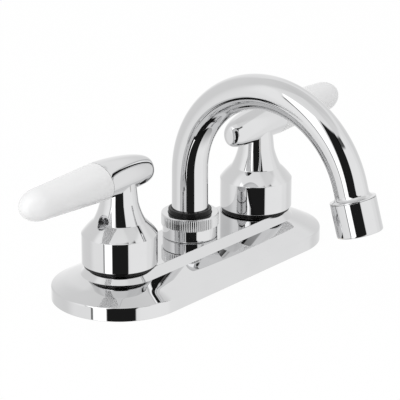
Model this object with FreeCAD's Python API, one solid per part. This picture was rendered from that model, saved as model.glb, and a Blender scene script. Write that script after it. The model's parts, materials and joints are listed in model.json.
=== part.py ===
import FreeCAD, Part
import math
import os

# Two-handle basin mixer tap with a swivel spout, for a basin shelf with two tap holes.
# Millimetres. X runs along the handles, the spout points to -Y, Z is up.
# The origin is on the underside of the base, midway between the two valves.

# Layout
valve_spacing = 101.6          # between the two valve axes, the standard four-inch hole spacing
shelf_thickness = 20.0         # basin shelf between the base and the clamping washers
face_gap = 0.3                 # between faces of pieces that move past each other
thread_gap = 0.05              # radial play in threads and plain fits
running_gap = 0.07             # radial play where one piece turns in another
sliding_gap = 0.02             # between the two ceramic discs of a valve

# Deck cover
cover_half_width = 31.5        # plan radius of the round ends and half the front-to-back depth
cover_rim_height = 6.4         # where the slope would meet the rim without its round
cover_rim_round = 1.0
cover_wall = 2.0
bridge_height = 15.6           # flat top between the two valves and round them
bridge_land = 1.5              # flat left round each valve hole
chamfer_run = 3.4              # from the flat's edge out to the crease
chamfer_fall = 3.67            # from the flat's edge down to the crease
slope_swell = 0.42             # of the slope's middle above its chord

# Gasket and waterway casting
gasket_thickness = 2.0
chamber_neck_radius = 13.0
chamber_shoulder = 0.4         # of the wide parts round the necks, which carry the cover
chamber_bore = 10.2
chamber_rim_height = 23.0
chamber_web = 1.5              # floor of a valve chamber, round the inlet port
inlet_port_radius = 4.5
passage_bore = 3.0
passage_wall = 1.2
passage_headroom = 0.1         # between the cross passage and the cover's ceiling
riser_radius = 11.4
riser_top_height = 25.0
riser_floor = 3.0

# Inlet shanks, washers and lock nuts
shank_radius = 10.3            # crest of the half-inch parallel thread
shank_bore = 6.5
shank_spigot_radius = 8.0
shank_spigot_length = 2.5
shank_length = 50.0            # below the underside of the base
shank_end_length = 14.0        # threaded end that takes the supply hose's nut
shank_relief_width = 2.0
shank_relief_depth = 0.8
shank_chamfer = 1.0
washer_radius = 17.0
washer_thickness = 2.0
lock_nut_across_flats = 32.0
lock_nut_height = 9.0

# Valve cartridge
seal_height = 1.6
seal_radius = 8.2
disc_radius = 7.0
disc_height = 2.5
disc_rim = 1.4                 # ceramic left outside the two ports
disc_hub = 1.2
disc_port_angle = 80.0
seal_port_gap = 0.8            # of the seat seal's bore round the inlet port
driver_height = 3.0
window_margin = 0.4            # of the cartridge's side windows from the driver's faces
ring_land = 1.0                # metal between the barrel and the cartridge's O-ring groove
cartridge_barrel_radius = 8.6
cartridge_hex_across_flats = 24.0
cartridge_hex_height = 4.0
cartridge_neck_radius = 7.0
cartridge_neck_height = 4.0
stem_radius = 4.0
stem_rise = 6.6                # of the stem's top above the set screw's axis
clip_radius = 5.6
clip_height = 0.8
clip_groove_depth = 0.6
clip_headroom = 2.0            # from the snap ring to the bell's ceiling
stem_ring_drops = (1.5, 0.5)   # of the stem's O-rings below the chamber's rim and the hexagon's top
ring_section = 0.9             # section radius of the small O-rings

# Cover nut under each bell
cover_nut_radius = 16.5
cover_nut_height = 1.2
cover_nut_hub_height = 3.2

# Handle
bell_radius = 17.4
bell_edge_height = 31.2
bell_wall = 2.0
bell_ceiling_gap = 1.0         # of the ceiling's edge round the cartridge's neck
shoulder_bulge = 0.15          # of the shoulder's middle from its chord, outwards and upwards
bell_neck_foot_radius = 11.9
bell_neck_foot_height = 37.3
neck_radius = 8.75
neck_low_height = 46.0
cove_reach = 0.175             # of a point of the cove from the chord's middle, inwards and down
cove_drop = 0.45
neck_top_radius = 7.4
lever_height = 59.0            # height of the lever's axis line
lever_inner_length = 21.0      # from the valve axis to the blunt inner end
lever_full_radius = 9.1        # at the joint of hub and grip
hub_power = 1.5                # how long the hub keeps its girth
hub_height_bluntness = 0.193   # one half would be a round end, zero a flat one
hub_width_bluntness = 0.241
hub_waist = 0.05               # share by which the hub is narrower than it is high
hub_droop = 2.5                # of the inner end below the lever's axis line
hub_end_share = 0.99           # of the rounding, where the flat inner end cuts it
grip_start_distance = 6.0      # inner end of the turned blank that the grip is cut from
lever_outer_length = 63.8      # from the valve axis to the tip of the grip
lever_tip_radius = 6.9
lever_cap_length = 10.0        # of the round end of the grip
seam_distance = 13.7           # from the valve axis to the joint of hub and grip
seam_lean = 12.0               # degrees, the top of the joint leans outwards
seam_gap = 0.05
stud_radius = 3.0
stud_length = 40.0
stud_depth_in_hub = 9.0
screw_radius = 3.175           # quarter-inch screw
screw_height = 38.9
screw_recess = 0.4             # of the screw's outer end outside the neck's radius
screw_socket_radius = 1.6
screw_socket_depth = 2.5
stem_flat_depth = 0.8          # of the flat that the set screw bears on
stem_flat_length = 7.0         # longer than the screw is wide

# Spout foot
base_ring_radius = 12.95
base_ring_height = 5.75
collar_radius = 13.5
collar_lip_height = 1.4        # of the lip over the bush's flange
collar_top_round = 0.6
collar_flutes = 80
flute_depth = 0.35
bush_radius = 10.2
bush_flange_height = 0.9
bush_flange_setback = 0.3      # of the flange's rim from the riser's outside
bush_neck_height = 2.1         # above the collar nut
bush_top_round = 0.6
retainer_height = 1.2
retainer_radius = 9.9
ferrule_foot_gap = 0.3         # above the cross passage
ferrule_bore = 5.4
retainer_groove_depth = 0.7
snap_ring_gap = 5.0
ferrule_spigot_length = 8.0

# Spout tube
spout_radius = 8.63            # at the foot
spout_end_radius = 7.75        # the tube tapers along its bend
spout_wall = 1.0
spout_rise_height = 47.6       # where the bend starts
first_bend_radius = 46.1
first_bend_angle = 125.0
second_bend_radius = 48.2
second_bend_angle = 163.5      # total turn, so that the outlet leans forwards
spout_end_length = 3.4         # straight end after the bend

# Outlet nose and aerator
nose_cove_length = 3.1
nose_rim_width = 0.5
nose_cove_swell = 0.65         # of the cove's middle from the tube's radius
nose_cove_share = 0.38         # of the cove's length from its middle to the rim
nose_spigot_length = 5.0
nose_thread_radius = 9.0
nose_thread_length = 6.0
nose_bore = 5.6
aerator_radius = 10.5
aerator_length = 15.6
aerator_chamfer = 0.8
aerator_joint = 0.15           # fine line between the nose and the housing
aerator_lip = 1.4
aerator_lip_bore = 7.6
aerator_shoulder_bore = 8.6
aerator_washer_height = 1.8
insert_flange_height = 1.2
insert_screen_gap = 1.1
screen_height = 0.5
screen_pitch = 1.5
screen_opening = 0.9
insert_hole_radius = 0.7
insert_hole_circles = ((2.2, 6), (4.3, 12))

# Places that follow from the sizes
half_spacing = valve_spacing / 2
bridge_half_width = chamber_neck_radius + bridge_land
cover_ceiling = bridge_height - cover_wall
chamber_radius = chamber_neck_radius + chamber_shoulder
chamber_floor = gasket_thickness + shank_spigot_length + chamber_web
passage_height = cover_ceiling - passage_headroom - passage_wall - passage_bore
riser_bore = spout_radius + running_gap
bell_bottom_height = bridge_height + cover_nut_height + face_gap
fixed_disc_bottom = chamber_floor + seal_height
moving_disc_bottom = fixed_disc_bottom + disc_height + sliding_gap
driver_bottom = moving_disc_bottom + disc_height
driver_top = driver_bottom + driver_height
barrel_top = driver_top + 2 * running_gap
cartridge_hex_top = chamber_rim_height + cartridge_hex_height
cartridge_top = cartridge_hex_top + cartridge_neck_height
clip_bottom = cartridge_top + running_gap
bell_cavity_top = clip_bottom + clip_height + clip_headroom
stem_top = screw_height + stem_rise
cartridge_ring_centre = chamber_bore - ring_section - thread_gap / 2
cartridge_ring_height = barrel_top + ring_land + ring_section
stem_ring_centre = stem_radius - ring_section + running_gap / 2
ferrule_ring_centre = riser_bore - ring_section - running_gap / 2
base_ring_top = bridge_height + base_ring_height
bush_flange_bottom = riser_top_height
bush_flange_top = bush_flange_bottom + bush_flange_height
bush_flange_radius = riser_radius - bush_flange_setback
collar_bottom = base_ring_top + thread_gap
collar_top = bush_flange_top + collar_lip_height
bush_top_height = collar_top + bush_neck_height
retainer_top = riser_top_height - 2 * running_gap
retainer_bottom = retainer_top - retainer_height
counterbore_bottom = retainer_bottom - running_gap
ferrule_bottom = passage_height + passage_bore + ferrule_foot_gap
tube_bottom = riser_top_height + running_gap
ferrule_top = tube_bottom + ferrule_spigot_length

up = FreeCAD.Vector(0, 0, 1)
origin = FreeCAD.Vector(0, 0, 0)
along_x = FreeCAD.Vector(1, 0, 0)
along_y = FreeCAD.Vector(0, 1, 0)


def disc(radius, bottom, top, x=0.0, y=0.0):
    """A solid cylinder standing between two heights."""
    return Part.makeCylinder(radius, top - bottom, FreeCAD.Vector(x, y, bottom), up)


def ring(outer, inner, bottom, top, x=0.0, y=0.0):
    """A tube standing between two heights."""
    return disc(outer, bottom, top, x, y).cut(disc(inner, bottom - 1, top + 1, x, y))


def hexagon(across_flats, bottom, top, x=0.0, y=0.0):
    """A hexagonal bar standing between two heights."""
    corner = across_flats / math.sqrt(3)
    points = []
    for step in range(7):
        angle = math.radians(60 * step)
        points.append(FreeCAD.Vector(x + corner * math.cos(angle), y + corner * math.sin(angle), bottom))
    face = Part.Face(Part.makePolygon(points))
    return face.extrude(FreeCAD.Vector(0, 0, top - bottom))


def turned(edges):
    """A solid of revolution about Z from edges in the XZ plane that form a closed outline."""
    face = Part.Face(Part.Wire(Part.__sortEdges__(edges)))
    return face.revolve(origin, up, 360)


def at(radius, height):
    """A point of a turned piece's outline."""
    return FreeCAD.Vector(radius, 0, height)


def line(start, end):
    return Part.LineSegment(start, end).toShape()


def arc(start, through, end):
    return Part.Arc(start, through, end).toShape()


def outline(points):
    """Straight edges through the points and back to the first."""
    edges = []
    for index, point in enumerate(points):
        edges.append(line(point, points[(index + 1) % len(points)]))
    return edges


def stadium(half_width, bottom, top):
    """A block with round ends centred on the two valve axes."""
    left_end = disc(half_width, bottom, top, -half_spacing)
    right_end = disc(half_width, bottom, top, half_spacing)
    corner = FreeCAD.Vector(-half_spacing, -half_width, bottom)
    middle = Part.makeBox(valve_spacing, 2 * half_width, top - bottom, corner)
    return middle.fuse([left_end, right_end]).removeSplitter()


def top_edges(solid, height):
    """The edges that lie wholly at one height."""
    found = []
    for edge in solid.Edges:
        box = edge.BoundBox
        if abs(box.ZMin - height) < 0.001 and abs(box.ZMax - height) < 0.001:
            found.append(edge)
    return found


def o_ring(centre_radius, height, x=0.0):
    return Part.makeTorus(centre_radius, ring_section, FreeCAD.Vector(x, 0, height), up)


def mirrored(shape, side):
    """Pieces are made for the left valve; the right one has their mirror image."""
    if side < 0:
        return shape
    return shape.mirror(origin, along_x)


def cover_section(inset):
    """Corners (half width, height) of the cover's outline from the top down, moved inwards."""
    crease = (bridge_half_width + chamfer_run, bridge_height - chamfer_fall)
    rim = (cover_half_width, cover_rim_height)
    swell = ((crease[0] + rim[0]) / 2, (crease[1] + rim[1]) / 2 + slope_swell)
    corners = [(0, bridge_height), (bridge_half_width, bridge_height)]
    corners += [crease, swell, rim, (cover_half_width, 0)]
    inward = []
    for (start_y, start_z), (end_y, end_z) in zip(corners, corners[1:]):
        length = math.hypot(end_y - start_y, end_z - start_z)
        inward.append(((end_z - start_z) / length, (start_y - end_y) / length))
    moved = [(0, bridge_height - inset)]
    for (y, z), before, after in zip(corners[1:], inward, inward[1:]):
        share = inset / (1 + before[0] * after[0] + before[1] * after[1])
        moved.append((y + share * (before[0] + after[0]), z + share * (before[1] + after[1])))
    return moved + [(cover_half_width - inset, -inset)]


def cover_form(inset):
    """The cover's outside form, or its cavity when moved inwards by the wall."""
    section = cover_section(inset)
    round_end = turned(outline([at(y, z) for y, z in section + [(0, -inset)]]))
    across = [FreeCAD.Vector(-half_spacing, y, z) for y, z in section[1:]]
    across += [FreeCAD.Vector(-half_spacing, -y, z) for y, z in reversed(section[1:])]
    form = Part.Face(Part.Wire(outline(across))).extrude(FreeCAD.Vector(valve_spacing, 0, 0))
    for x in (-half_spacing, half_spacing):
        end = round_end.copy()
        end.translate(FreeCAD.Vector(x, 0, 0))
        form = form.fuse(end)
    form = form.removeSplitter()
    if inset < cover_rim_round:
        form = form.makeFillet(cover_rim_round - inset, top_edges(form, cover_rim_height))
    return form


def make_deck_cover():
    cover = cover_form(0).cut(cover_form(cover_wall))
    for x in (-half_spacing, half_spacing):
        hole = disc(chamber_neck_radius + running_gap, 0, bridge_height + 1, x)
        cover = cover.cut(hole)
    return cover.cut(disc(riser_radius + running_gap, 0, bridge_height + 1))


def make_base_gasket():
    gasket = stadium(cover_half_width - cover_wall - face_gap, 0, gasket_thickness)
    for x in (-half_spacing, half_spacing):
        gasket = gasket.cut(disc(shank_radius + face_gap, -1, gasket_thickness + 1, x))
    return gasket


def make_waterway():
    solids = []
    for x in (-half_spacing, half_spacing):
        solids.append(disc(chamber_radius, gasket_thickness, cover_ceiling, x))
        solids.append(disc(chamber_neck_radius, cover_ceiling - 1, chamber_rim_height, x))
    solids.append(disc(chamber_radius, gasket_thickness, cover_ceiling))
    solids.append(disc(riser_radius, cover_ceiling - 1, riser_top_height))
    start = FreeCAD.Vector(-half_spacing, 0, passage_height)
    body = Part.makeCylinder(passage_bore + passage_wall, valve_spacing, start, along_x)
    body = body.fuse(solids)
    for x in (-half_spacing, half_spacing):
        socket_top = gasket_thickness + shank_spigot_length
        body = body.cut(disc(shank_spigot_radius + thread_gap, gasket_thickness - 1, socket_top, x))
        body = body.cut(disc(inlet_port_radius, gasket_thickness, chamber_floor + 1, x))
        body = body.cut(disc(chamber_bore, chamber_floor, chamber_rim_height + 1, x))
    body = body.cut(Part.makeCylinder(passage_bore, valve_spacing, start, along_x))
    body = body.cut(disc(riser_bore, gasket_thickness + riser_floor, riser_top_height + 1))
    counterbore = retainer_radius + 2 * running_gap
    return body.cut(disc(counterbore, counterbore_bottom, riser_top_height + 1))


def make_shank():
    x = -half_spacing
    bottom = -shank_length
    top = gasket_thickness
    shank = disc(shank_radius, bottom, top, x)
    shank = shank.makeChamfer(shank_chamfer, top_edges(shank, bottom))
    shank = shank.fuse(disc(shank_spigot_radius, top - 1, top + shank_spigot_length, x))
    relief_bottom = bottom + shank_end_length
    relief_top = relief_bottom + shank_relief_width
    relief_radius = shank_radius - shank_relief_depth
    shank = shank.cut(ring(shank_radius + 1, relief_radius, relief_bottom, relief_top, x))
    return shank.cut(disc(shank_bore, bottom - 1, top + shank_spigot_length + 1, x))


def make_shank_washer():
    top = -shelf_thickness
    return ring(washer_radius, shank_radius + face_gap, top - washer_thickness, top, -half_spacing)


def make_lock_nut():
    x = -half_spacing
    top = -shelf_thickness - washer_thickness
    nut = hexagon(lock_nut_across_flats, top - lock_nut_height, top, x)
    return nut.cut(disc(shank_radius + thread_gap, top - lock_nut_height - 1, top + 1, x))


def bow_tie(bottom, top, turn):
    """Two opposite quarter-circle water ports, to be cut from a ceramic disc."""
    ports = []
    for start in (turn, turn + 180):
        port = Part.makeCylinder(disc_radius - disc_rim, top - bottom, FreeCAD.Vector(0, 0, bottom), up,
                                 disc_port_angle)
        port.rotate(origin, up, start - disc_port_angle / 2)
        ports.append(port)
    hub = disc(disc_hub, bottom - 1, top + 1)
    return ports[0].fuse(ports[1]).cut(hub)


def make_ceramic_disc(bottom, turn):
    blank = disc(disc_radius, bottom, bottom + disc_height)
    blank = blank.cut(bow_tie(bottom - 1, bottom + disc_height + 1, turn))
    blank.translate(FreeCAD.Vector(-half_spacing, 0, 0))
    return blank


def make_seat_seal():
    bore = inlet_port_radius + seal_port_gap
    return ring(seal_radius, bore, chamber_floor, fixed_disc_bottom, -half_spacing)


def make_cartridge_body():
    x = -half_spacing
    bore = disc_radius + thread_gap
    solids = [disc(chamber_bore - thread_gap, barrel_top, chamber_rim_height, x)]
    solids.append(hexagon(cartridge_hex_across_flats, chamber_rim_height, cartridge_hex_top, x))
    solids.append(disc(cartridge_neck_radius, cartridge_hex_top - 1, cartridge_top, x))
    body = disc(cartridge_barrel_radius, fixed_disc_bottom, barrel_top + 1, x).fuse(solids)
    body = body.cut(disc(bore, fixed_disc_bottom - 1, barrel_top, x))
    body = body.cut(disc(stem_radius + running_gap, barrel_top - 1, cartridge_top + 1, x))
    window_height = driver_height - 2 * window_margin
    corner = FreeCAD.Vector(x - chamber_bore, -disc_radius / 2, driver_bottom + window_margin)
    windows = Part.makeBox(2 * chamber_bore, disc_radius, window_height, corner)
    groove = ring(chamber_bore + 1, cartridge_ring_centre - ring_section,
                  cartridge_ring_height - ring_section, cartridge_ring_height + ring_section, x)
    return body.cut(windows).cut(groove)


def make_cartridge_ring():
    """O-ring that seals the cartridge in the chamber, below its thread."""
    return o_ring(cartridge_ring_centre, cartridge_ring_height, -half_spacing)


def stem_ring_heights():
    """Heights of the two small O-rings in the cartridge's neck."""
    return (chamber_rim_height - stem_ring_drops[0], cartridge_hex_top - stem_ring_drops[1])


def make_stem():
    x = -half_spacing
    driver = disc(disc_radius, driver_bottom, driver_top, x)
    slot_corner = FreeCAD.Vector(x - disc_radius, -disc_radius / 4, driver_bottom - 1)
    slot = Part.makeBox(2 * disc_radius, disc_radius / 2, driver_height, slot_corner)
    stem = driver.cut(slot).fuse(disc(stem_radius, driver_top - 1, stem_top, x))
    for height in stem_ring_heights():
        groove = ring(stem_radius + 1, stem_ring_centre - ring_section,
                      height - ring_section, height + ring_section, x)
        stem = stem.cut(groove)
    clip_groove = ring(stem_radius + 1, stem_radius - clip_groove_depth, clip_bottom,
                       clip_bottom + clip_height, x)
    stem = stem.cut(clip_groove)
    flat_corner = FreeCAD.Vector(x - stem_radius - 1, -stem_radius - 1, screw_height - stem_flat_length / 2)
    flat = Part.makeBox(1 + stem_flat_depth, 2 * stem_radius + 2, stem_flat_length, flat_corner)
    return stem.cut(flat)


def make_stem_rings():
    rings = []
    for height in stem_ring_heights():
        rings.append(o_ring(stem_ring_centre, height, -half_spacing))
    return Part.makeCompound(rings)


def make_stem_clip():
    """A snap ring with its gap towards the back."""
    x = -half_spacing
    inner = stem_radius - clip_groove_depth
    clip = ring(clip_radius, inner, clip_bottom, clip_bottom + clip_height, x)
    corner = FreeCAD.Vector(x - inner / 2, 0, clip_bottom - 1)
    return clip.cut(Part.makeBox(inner, clip_radius + 1, clip_height + 2, corner))


def make_cover_nut():
    x = -half_spacing
    top = bridge_height + cover_nut_height
    hub_radius = bell_radius - bell_wall - 2 * face_gap
    nut = disc(cover_nut_radius, bridge_height, top, x)
    nut = nut.fuse(disc(hub_radius, bridge_height, top + cover_nut_hub_height, x))
    return nut.cut(disc(chamber_neck_radius + thread_gap, 0, top + cover_nut_hub_height + 1, x))


def make_bell():
    """Bell and neck about the Z axis, with a cavity for the cartridge."""
    shoulder = [at(bell_radius, bell_bottom_height), at(bell_radius, bell_edge_height)]
    foot = at(bell_neck_foot_radius, bell_neck_foot_height)
    mid_radius = (bell_radius + bell_neck_foot_radius) / 2 + shoulder_bulge
    mid_height = (bell_edge_height + bell_neck_foot_height) / 2 + shoulder_bulge
    low = at(neck_radius, neck_low_height)
    cove_radius = (bell_neck_foot_radius + neck_radius) / 2 - cove_reach
    cove_mid = at(cove_radius, (bell_neck_foot_height + neck_low_height) / 2 - cove_drop)
    top = at(neck_top_radius, lever_height)
    edges = [line(shoulder[0], shoulder[1])]
    edges.append(arc(shoulder[1], at(mid_radius, mid_height), foot))
    edges.append(arc(foot, cove_mid, low))
    edges.append(line(low, top))
    edges.append(line(top, at(0, lever_height)))
    edges.append(line(at(0, lever_height), at(0, bell_bottom_height)))
    edges.append(line(at(0, bell_bottom_height), shoulder[0]))
    bell = turned(edges)
    inner = bell_radius - bell_wall
    ceiling_radius = cartridge_neck_radius + bell_ceiling_gap
    cavity = [at(0, bell_bottom_height - 1), at(inner, bell_bottom_height - 1)]
    cavity += [at(inner, bell_edge_height - bell_wall), at(ceiling_radius, bell_cavity_top)]
    cavity += [at(0, bell_cavity_top)]
    return bell.cut(turned(outline(cavity)))


def grip_radius(distance):
    """Radius of the grip at a distance outwards from the valve axis."""
    share = (distance - seam_distance) / (lever_outer_length - seam_distance)
    radius = lever_full_radius + (lever_tip_radius - lever_full_radius) * max(share, 0)
    into_cap = (distance - lever_outer_length + lever_cap_length) / lever_cap_length
    if into_cap > 0:
        radius *= math.sqrt(1 - into_cap ** 2)
    return radius


def grip_blank():
    """The turned outer part of the lever, pointing to -X from the left valve."""
    reach = lever_outer_length - grip_start_distance
    steps = 32
    points = []
    for count in range(steps + 1):
        distance = lever_outer_length - reach * (1 - math.cos(math.pi * count / steps / 2))
        radius = grip_radius(distance) if count > 0 else 0.0
        points.append(FreeCAD.Vector(-half_spacing - distance, 0, lever_height + radius))
    curve = Part.BSplineCurve()
    curve.interpolate(points)
    foot = FreeCAD.Vector(-half_spacing - grip_start_distance, 0, lever_height)
    edges = [curve.toShape(), line(points[-1], foot), line(foot, points[0])]
    axis_point = FreeCAD.Vector(-half_spacing, 0, lever_height)
    return Part.Face(Part.Wire(edges)).revolve(axis_point, along_x, 360)


def hub_ring(share):
    """Elliptic section of the hub, from 0 at the joint with the grip to 1 at the blunt end."""
    end = 1 - share ** hub_power
    height = lever_full_radius * end ** hub_height_bluntness
    width = lever_full_radius * (1 - hub_waist * share) * end ** hub_width_bluntness
    reach = (seam_distance + lever_inner_length) / hub_end_share
    x = -half_spacing - seam_distance + share * reach
    z = lever_height - hub_droop * share ** 2
    top = FreeCAD.Vector(x, 0, z + height)
    side_point = FreeCAD.Vector(x, min(width, height - sliding_gap), z)
    return Part.Wire([Part.Ellipse(top, side_point, FreeCAD.Vector(x, 0, z)).toShape()])


def hub_solid():
    """Chrome hub of the lever, with extra length beyond the joint for the leaning cut."""
    steps = 14
    lean_reach = lever_full_radius * math.tan(math.radians(seam_lean))
    outermost = hub_ring(0)
    outermost.translate(FreeCAD.Vector(-2 * lean_reach, 0, 0))
    rings = [outermost]
    for count in range(steps + 1):
        rings.append(hub_ring(hub_end_share * math.sin(math.pi * count / steps / 2)))
    return Part.makeLoft(rings, True)


def outer_block(gap):
    """All space outside the leaning joint of hub and grip."""
    size = 2 * lever_outer_length
    block = Part.makeBox(size, size, size, FreeCAD.Vector(-size, -size / 2, -size / 2))
    block.rotate(origin, along_y, seam_lean)
    block.translate(FreeCAD.Vector(-half_spacing - seam_distance - gap, 0, lever_height))
    return block


def stud_bar(radius, extra):
    """The grip stud, or the hole for it when the radius and the extra length are larger."""
    start = -half_spacing - seam_distance + stud_depth_in_hub + extra
    length = stud_length + 2 * extra
    return Part.makeCylinder(radius, length, FreeCAD.Vector(start, 0, lever_height), FreeCAD.Vector(-1, 0, 0))


def screw_bar(radius, inner, outer):
    """A bar along the set screw's axis between two distances outwards from the valve axis."""
    start = FreeCAD.Vector(-half_spacing - inner, 0, screw_height)
    return Part.makeCylinder(radius, outer - inner, start, FreeCAD.Vector(-1, 0, 0))


def make_handle():
    bell = make_bell()
    bell.translate(FreeCAD.Vector(-half_spacing, 0, 0))
    hub = hub_solid().cut(outer_block(0))
    handle = bell.fuse(hub).removeSplitter()
    stem_socket = disc(stem_radius + thread_gap, bell_cavity_top - 1, stem_top + thread_gap, -half_spacing)
    handle = handle.cut(stem_socket)
    handle = handle.cut(screw_bar(screw_radius, 0, bell_radius))
    return handle.cut(stud_bar(stud_radius + thread_gap, thread_gap))


def make_grip():
    grip = grip_blank().common(outer_block(seam_gap))
    return grip.cut(stud_bar(stud_radius + thread_gap, thread_gap))


def make_set_screw():
    inner = stem_radius - stem_flat_depth + thread_gap
    outer = neck_radius + screw_recess
    screw = screw_bar(screw_radius - thread_gap, inner, outer)
    return screw.cut(screw_bar(screw_socket_radius, outer - screw_socket_depth, outer + 1))


def make_base_ring():
    blank = disc(base_ring_radius, bridge_height, base_ring_top)
    return blank.cut(disc(riser_radius + thread_gap, bridge_height - 1, base_ring_top + 1))


def make_collar_nut():
    """Fluted ring nut with a lip that holds the bush down."""
    points = []
    for count in range(2 * collar_flutes):
        radius = collar_radius - (count % 2) * flute_depth
        angle = math.pi * count / collar_flutes
        points.append(FreeCAD.Vector(radius * math.cos(angle), radius * math.sin(angle), collar_bottom))
    fluted = Part.Face(Part.Wire(outline(points))).extrude(FreeCAD.Vector(0, 0, collar_top - collar_bottom))
    crown = disc(collar_radius, collar_bottom, collar_top)
    crown = crown.makeFillet(collar_top_round, top_edges(crown, collar_top))
    nut = fluted.common(crown)
    nut = nut.cut(disc(riser_radius + thread_gap, collar_bottom - 1, bush_flange_top))
    return nut.cut(disc(bush_radius + thread_gap, collar_bottom - 1, collar_top + 1))


def make_spout_bush():
    bush = disc(bush_flange_radius, bush_flange_bottom, bush_flange_top)
    bush = bush.fuse(disc(bush_radius, bush_flange_bottom, bush_top_height))
    bush = bush.makeFillet(bush_top_round, top_edges(bush, bush_top_height))
    return bush.cut(disc(spout_radius + running_gap, 0, bush_top_height + 1))


def ferrule_ring_heights():
    """Heights of the two O-rings that seal the spout in the riser."""
    room = retainer_bottom - ferrule_bottom
    return (ferrule_bottom + room * 0.3, ferrule_bottom + room * 0.68)


def make_spout_ferrule():
    body = disc(spout_radius, ferrule_bottom, tube_bottom)
    spigot = disc(spout_radius - spout_wall - thread_gap, tube_bottom - 1, ferrule_top)
    body = body.fuse(spigot).cut(disc(ferrule_bore, ferrule_bottom - 1, ferrule_top + 1))
    for height in ferrule_ring_heights():
        groove = ring(spout_radius + 1, ferrule_ring_centre - ring_section,
                      height - ring_section, height + ring_section)
        body = body.cut(groove)
    groove_floor = spout_radius - retainer_groove_depth
    return body.cut(ring(spout_radius + 1, groove_floor, retainer_bottom, retainer_top))


def make_spout_rings():
    rings = []
    for height in ferrule_ring_heights():
        rings.append(o_ring(ferrule_ring_centre, height))
    return Part.makeCompound(rings)


def make_spout_retainer():
    """A snap ring in the ferrule's groove, with its gap towards the back."""
    snap = ring(retainer_radius, spout_radius - retainer_groove_depth, retainer_bottom, retainer_top)
    corner = FreeCAD.Vector(-snap_ring_gap / 2, 0, retainer_bottom - 1)
    return snap.cut(Part.makeBox(snap_ring_gap, retainer_radius + 1, retainer_height + 2, corner))


def bend_point(angle):
    """A point of the spout's centre line at a given turn from the vertical, in degrees."""
    first = math.radians(min(angle, first_bend_angle))
    y = -first_bend_radius * (1 - math.cos(first))
    z = spout_rise_height + first_bend_radius * math.sin(first)
    if angle > first_bend_angle:
        last = math.radians(angle)
        y -= second_bend_radius * (math.cos(first) - math.cos(last))
        z += second_bend_radius * (math.sin(last) - math.sin(first))
    return FreeCAD.Vector(0, y, z)


def outlet_direction():
    turn = math.radians(second_bend_angle)
    return FreeCAD.Vector(0, -math.sin(turn), math.cos(turn))


def tube_end():
    return bend_point(second_bend_angle) + outlet_direction() * spout_end_length


def swept_tube(inset, extra):
    """The spout's outside, or its bore when the inset is the wall, with extra length at both ends."""
    start = FreeCAD.Vector(0, 0, tube_bottom - extra)
    bend_start = bend_point(0)
    middle = bend_point(first_bend_angle)
    bend_end = bend_point(second_bend_angle)
    end = tube_end() + outlet_direction() * extra
    edges = [line(start, bend_start)]
    edges.append(arc(bend_start, bend_point(first_bend_angle / 2), middle))
    edges.append(arc(middle, bend_point((first_bend_angle + second_bend_angle) / 2), bend_end))
    edges.append(line(bend_end, end))
    sweep = Part.BRepOffsetAPI.MakePipeShell(Part.Wire(edges))
    foot_circle = Part.Circle(start, up, spout_radius - inset).toShape()
    end_circle = Part.Circle(end, outlet_direction(), spout_end_radius - inset).toShape()
    sweep.setFrenetMode(True)
    sweep.add(Part.Wire([foot_circle]))
    sweep.add(Part.Wire([end_circle]))
    sweep.build()
    sweep.makeSolid()
    return sweep.shape()


def make_spout_tube():
    return swept_tube(0, 0).cut(swept_tube(spout_wall, 0.5))


def to_outlet(shape):
    """Moves a piece made about Z, with Z pointing out of the outlet, to the spout's end."""
    joint = tube_end() + outlet_direction() * nose_cove_length
    turn = FreeCAD.Rotation(up, outlet_direction())
    moved = shape.copy()
    moved.Placement = FreeCAD.Placement(joint, turn).multiply(moved.Placement)
    return moved


def make_outlet_nose():
    """Brazed end of the spout: a cove that widens to the housing, then the thread for it."""
    start = at(spout_end_radius, -nose_cove_length)
    rim_top = at(aerator_radius, -nose_rim_width)
    cove_mid = at(spout_end_radius + nose_cove_swell, -nose_cove_length * nose_cove_share)
    spigot_radius = spout_end_radius - spout_wall - thread_gap
    spigot_top = -nose_cove_length - nose_spigot_length
    edges = [arc(start, cove_mid, rim_top), line(rim_top, at(aerator_radius, 0))]
    points = [at(aerator_radius, 0), at(nose_thread_radius, 0)]
    points += [at(nose_thread_radius, nose_thread_length), at(nose_bore, nose_thread_length)]
    points += [at(nose_bore, spigot_top), at(spigot_radius, spigot_top)]
    points += [at(spigot_radius, -nose_cove_length), start]
    for index in range(len(points) - 1):
        edges.append(line(points[index], points[index + 1]))
    return to_outlet(turned(edges))


def make_aerator_housing():
    housing = disc(aerator_radius, aerator_joint, aerator_length)
    housing = housing.makeFillet(aerator_chamfer, top_edges(housing, aerator_length))
    thread_end = nose_thread_length + aerator_washer_height + insert_flange_height
    housing = housing.cut(disc(nose_thread_radius + thread_gap, aerator_joint - 1, thread_end))
    housing = housing.cut(disc(aerator_shoulder_bore, 0, aerator_length - aerator_lip))
    return to_outlet(housing.cut(disc(aerator_lip_bore, 0, aerator_length + 1)))


def make_aerator_washer():
    top = nose_thread_length + aerator_washer_height
    return to_outlet(ring(nose_thread_radius - thread_gap, nose_bore, nose_thread_length, top))


def make_aerator_insert():
    start = nose_thread_length + aerator_washer_height
    shoulder = start + insert_flange_height
    end = aerator_length - aerator_lip - screen_height - insert_screen_gap
    insert = disc(nose_thread_radius - thread_gap, start, shoulder)
    insert = insert.fuse(disc(aerator_shoulder_bore - thread_gap, start, end))
    holes = []
    for circle_radius, count in insert_hole_circles:
        for step in range(count):
            angle = 2 * math.pi * step / count
            x = circle_radius * math.cos(angle)
            y = circle_radius * math.sin(angle)
            holes.append(disc(insert_hole_radius, start - 1, end + 1, x, y))
    return to_outlet(insert.cut(Part.makeCompound(holes)))


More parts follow.
